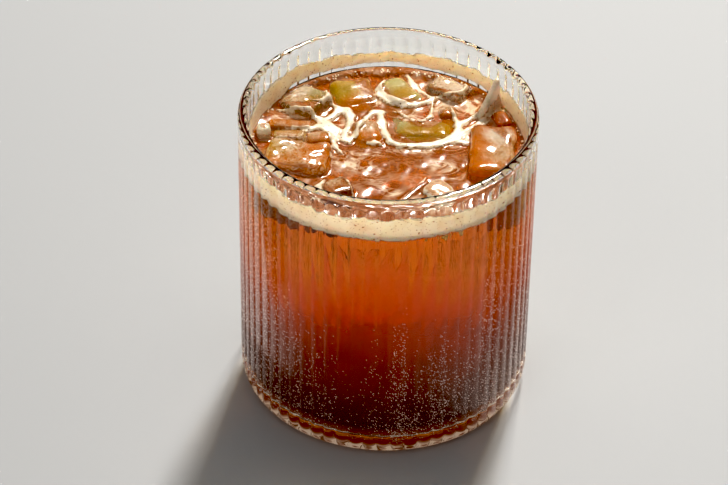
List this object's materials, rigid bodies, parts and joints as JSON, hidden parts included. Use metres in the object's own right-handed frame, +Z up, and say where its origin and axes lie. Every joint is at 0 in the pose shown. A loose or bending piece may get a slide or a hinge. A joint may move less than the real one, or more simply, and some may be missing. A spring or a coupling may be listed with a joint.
{
  "type": "iced coffee in a ribbed tumbler",
  "caption": "Cold brew coffee with half-melted ice and a web of foam, in a straight ribbed glass tumbler.",
  "frame": {"origin": "middle of the tumbler's foot, on the surface it stands on", "axes": "+Z up along the tumbler's axis; +Y away from the side with the widest foam, +X to its right"},
  "size_m": [0.082, 0.082, 0.089],
  "materials": {
    "clear_glass": "clear pressed glass with a fire-polished rim",
    "coffee": "clear red-brown coffee, near black towards the foot",
    "foam": "fine cream-coloured coffee foam",
    "clear_ice": "wet, partly frosted ice",
    "coffee_ice": "wet ice that shows the coffee under it"
  },
  "bodies": {
    "root": {"coffee": "coffee", "foam_ring": "foam", "foam_web": "foam", "glass_tumbler": "clear_glass", "ice_back_left": "clear_ice", "ice_back_middle": "coffee_ice", "ice_back_right": "clear_ice", "ice_bar_back": "coffee_ice", "ice_bar_front": "coffee_ice", "ice_chip": "clear_ice", "ice_clear": "clear_ice", "ice_front_dark": "coffee_ice", "ice_front_left": "coffee_ice", "ice_front_plate": "coffee_ice", "ice_front_white": "clear_ice", "ice_left_edge": "coffee_ice", "ice_left_small": "coffee_ice", "ice_middle": "coffee_ice", "ice_olive": "coffee_ice", "ice_red": "coffee_ice", "ice_right": "coffee_ice", "ice_right_edge": "coffee_ice", "ice_shard": "clear_ice"}
  },
  "joints": []
}
